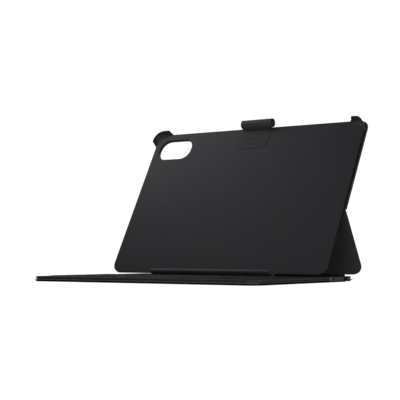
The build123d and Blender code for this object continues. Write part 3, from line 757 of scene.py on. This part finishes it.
def make_clip(side, ends, radius, shapes):
    """A corner clip swept along the plate's corner, with ribs inside and shaped ends."""
    top_x, side_s = ends
    top_shape, side_shape = shapes
    straights = plate_half_width - top_x + plate_height - side_s - 2 * radius
    total = straights + radius * math.pi / 2

    def place_point(point, share):
        inset, lift = point
        first = clip_end(lift, *top_shape)
        last = total - clip_end(lift, *side_shape)
        if lift < FILLET_TOP and inset > CLIP_WALL:
            # The fillet inside the foot runs out towards both ends.
            run = min(1.0, min(share, 1 - share) * (last - first) / FILLET_RUN_OUT)
            inset = CLIP_WALL + (inset - CLIP_WALL) * run * run * (3 - 2 * run)
        x, s = outline_point(top_x, radius, first + (last - first) * share, inset)
        return plate @ (Vector((side * x, s, lift)) * MM)

    name = ("left" if side < 0 else "right") + "_corner_clip"
    piece = swept(name + "_moulding", CLIP_SECTION, place_point, 36, CLIP)
    soften(piece, 0.3)
    # A look setting, not physics: the photographed plate shows no clip shadow, so none is cast.
    piece.visible_shadow = False
    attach(piece, "tablet_holder")
    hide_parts(name)


# ---------------------------------------------------------------- bottom ledge
LEDGE_X, LEDGE_ROOT_X, LEDGE_DEPTH = 77.5, 80.5, 9.0
LEDGE_BACK = 2.0  # how far behind the plate's face the ends' slope begins
# The ledge's section as (distance up the plate, distance in front of it).
LEDGE_SECTION = [
    (0.0, 0.0), (0.0, -1.6), (-3.0, 0.4), (-3.0, 8.1), (-2.1, 9.0), (-0.3, 8.9), (0.5, 8.3),
    (0.5, 7.7), (-1.6, 7.7), (-1.6, 0.0),
]


def rounded_polygon(points, radius, steps=3):
    """A polygon with each corner turned into a short curve."""
    rounded = []
    for before, corner, after in zip(points[-1:] + points[:-1], points, points[1:] + points[:1]):
        corner = Vector(corner)
        ways = [Vector(before) - corner, Vector(after) - corner]
        cut = min(radius, *(way.length * 0.4 for way in ways))
        first, last = (corner + way.normalized() * cut for way in ways)
        for step in range(steps + 1):
            t = step / steps
            rounded.append(first * (1 - t) ** 2 + corner * 2 * t * (1 - t) + last * t**2)
    return rounded


def make_ledge():
    """The ledge that the tablet stands on, with a soft section and ends that slope inwards."""

    def place_point(point, share):
        up, out = point
        rearward = (LEDGE_DEPTH - out) / (LEDGE_DEPTH + LEDGE_BACK)
        half = LEDGE_X + (LEDGE_ROOT_X - LEDGE_X) * rearward
        return plate @ (Vector(((2 * share - 1) * half, up, out)) * MM)

    piece = swept(
        "bottom_ledge_moulding", rounded_polygon(LEDGE_SECTION, 0.35), place_point, 24, HOLDER,
    )
    soften(piece, 0.3)
    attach(piece, "tablet_holder")
    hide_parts("bottom_ledge")


# ---------------------------------------------------------------- pen sleeve
SLEEVE_WALL = 0.75
NECK_MARGIN, NECK_TUCK = 1.2, 0.5  # the neck's step in from the sleeve's ends, and its overlap


def make_pen_sleeve():
    """A rubber tube with rounded rims, on a neck from the tab's top edge."""
    low, high = extent("pen_sleeve", plate)
    radius = (high.z - low.z) / 2
    centre_s, centre_d = high.y - radius, (low.z + high.z) / 2
    centre_x, half = (low.x + high.x) / 2, (high.x - low.x) / 2
    lip = SLEEVE_WALL / 2
    sides = 64
    turn = 8
    profile = []
    for end in (-1, 1):
        for i in range(turn + 1):
            angle = math.pi * i / turn
            across = radius - lip + lip * (math.cos(angle) if end > 0 else -math.cos(angle))
            along = half - lip + lip * math.sin(angle)
            profile.append((centre_x + end * along, across))
    mesh = bmesh.new()
    rings = []
    for x, r in profile:
        ring = []
        for i in range(sides):
            angle = 2 * math.pi * i / sides
            s = centre_s + r * math.cos(angle)
            d = centre_d + r * math.sin(angle)
            ring.append(mesh.verts.new(plate @ (Vector((x, s, d)) * MM)))
        rings.append(ring)
    for first, second in zip(rings, rings[1:] + rings[:1]):
        bridge(mesh, first, second)
    piece = finish_piece(mesh, "pen_sleeve_tube", SLEEVE, smooth_angle=60)
    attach(piece, "tablet_holder")
    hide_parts("pen_sleeve")

    neck_half, foot = half - NECK_MARGIN, centre_s - radius

    def outline(inset):
        return rounded_loop(
            centre_x - neck_half + inset, centre_x + neck_half - inset,
            foot - NECK_MARGIN + inset, foot + NECK_TUCK - inset, (0.4,) * 4, steps=4,
        )

    neck = panel(
        "pen_sleeve_neck", plate, sheet_levels(-0.05, 0.95, 0.3), [outline], SLEEVE,
    )
    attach(neck, "tablet_holder")


# ---------------------------------------------------------------- stage, light and camera
FLOOR_Z = -0.5 * MM
FILL = 0.015  # strength of the even light from all round
COOL = (0.985, 1.0, 1.05)  # colour of the lamps
MIDDLE = (0, 0.05, 0.08)
# Lamps as (name, place, what it looks at, diameter, power), in metres and watts.
LAMPS = [
    ("key", (-0.45, 0.1, 0.4), MIDDLE, 0.2, 0.42),
    ("hot_spot", (-0.25, 0.05, 0.5), MIDDLE, 0.2, 0.28),
    ("front", (0.3, -0.9, 0.1), MIDDLE, 0.5, 1.55),
    ("side", (0.9, -0.5, 0.15), MIDDLE, 0.5, 2.05),
    ("back", (-0.2, 1.3, 0.25), (0, 0.1, 0.08), 0.6, 5.0),
    ("below", (0, -0.1, -0.8), (0, 0.02, 0), 0.5, 0.35),
]
# The camera's place in metres, its tilt and turn in radians, and its lens and sensor in millimetres.
CAMERA_PLACE, CAMERA_TILT, CAMERA_TURN = (0.6924, -0.9559, 0.0310), 0.0464, 0.6203
CAMERA_LENS, CAMERA_SENSOR = 100, 36


def make_stage():
    """A pale floor just under the base. The camera sees the white room through it.

    Lights shine through it, so a part that folds below it, and the underside, are still lit.
    """
    bpy.ops.mesh.primitive_plane_add(size=60, location=(0, 0, FLOOR_Z))
    floor = bpy.context.object
    floor.name = "floor"
    material, tree, shader = nodes_of("pale_floor")
    tree.nodes.remove(shader)
    pale = tree.nodes.new("ShaderNodeBsdfDiffuse")
    pale.inputs["Color"].default_value = (0.6, 0.6, 0.6, 1)
    clear = tree.nodes.new("ShaderNodeBsdfTransparent")
    light_path = tree.nodes.new("ShaderNodeLightPath")
    faces = tree.nodes.new("ShaderNodeNewGeometry")
    direct = tree.nodes.new("ShaderNodeMath")
    direct.operation = "MAXIMUM"
    tree.links.new(light_path.outputs["Is Camera Ray"], direct.inputs[0])
    tree.links.new(light_path.outputs["Is Shadow Ray"], direct.inputs[1])
    unseen = tree.nodes.new("ShaderNodeMath")
    unseen.operation = "MAXIMUM"
    mix = tree.nodes.new("ShaderNodeMixShader")
    tree.links.new(direct.outputs[0], unseen.inputs[0])
    tree.links.new(faces.outputs["Backfacing"], unseen.inputs[1])
    tree.links.new(unseen.outputs[0], mix.inputs[0])
    tree.links.new(pale.outputs[0], mix.inputs[1])
    tree.links.new(clear.outputs[0], mix.inputs[2])
    tree.links.new(mix.outputs[0], tree.nodes["Material Output"].inputs["Surface"])
    floor.data.materials.append(material)


def make_world():
    """White to the camera, and a dim even fill for the object."""
    world = bpy.data.worlds.new("studio")
    bpy.context.scene.world = world
    world.use_nodes = True
    tree = world.node_tree
    tree.nodes.clear()
    light_path = tree.nodes.new("ShaderNodeLightPath")
    white = tree.nodes.new("ShaderNodeBackground")
    white.inputs["Strength"].default_value = 1.05
    white.inputs["Color"].default_value = (1, 1, 1, 1)
    fill = tree.nodes.new("ShaderNodeBackground")
    fill.inputs["Color"].default_value = (1, 1, 1, 1)
    fill.inputs["Strength"].default_value = FILL
    mix = tree.nodes.new("ShaderNodeMixShader")
    output = tree.nodes.new("ShaderNodeOutputWorld")
    tree.links.new(light_path.outputs["Is Camera Ray"], mix.inputs[0])
    tree.links.new(fill.outputs[0], mix.inputs[1])
    tree.links.new(white.outputs[0], mix.inputs[2])
    tree.links.new(mix.outputs[0], output.inputs["Surface"])


def area_light(name, place, target, size, power):
    """A round soft light that looks at a point."""
    data = bpy.data.lights.new(name, "AREA")
    data.shape = "DISK"
    data.size = size
    data.energy = power
    data.color = COOL
    light = bpy.data.objects.new(name, data)
    light.location = place
    light.rotation_euler = (Vector(target) - Vector(place)).to_track_quat("-Z", "Y").to_euler()
    light.visible_camera = False
    bpy.context.scene.collection.objects.link(light)


def make_camera():
    """The camera of the main view."""
    data = bpy.data.cameras.new("camera")
    data.lens = CAMERA_LENS
    data.sensor_width = CAMERA_SENSOR
    camera = bpy.data.objects.new("camera", data)
    camera.location = CAMERA_PLACE
    camera.rotation_euler = (math.pi / 2 + CAMERA_TILT, 0, CAMERA_TURN)
    bpy.context.scene.collection.objects.link(camera)
    bpy.context.scene.camera = camera


dress_cad_nodes()
paint_light_and_shade()
make_back_cover()
make_flap()
make_spine()
make_hinges()
make_base_skin()
make_clip(-1, LEFT_CLIP_ENDS, PLATE_R, LEFT_CLIP_SHAPES)
make_clip(1, RIGHT_CLIP_ENDS, RIGHT_CLIP_R, RIGHT_CLIP_SHAPES)
make_ledge()
make_pen_sleeve()

make_stage()
make_world()
for lamp in LAMPS:
    area_light(*lamp)
make_camera()
bpy.context.scene.view_settings.view_transform = "Standard"
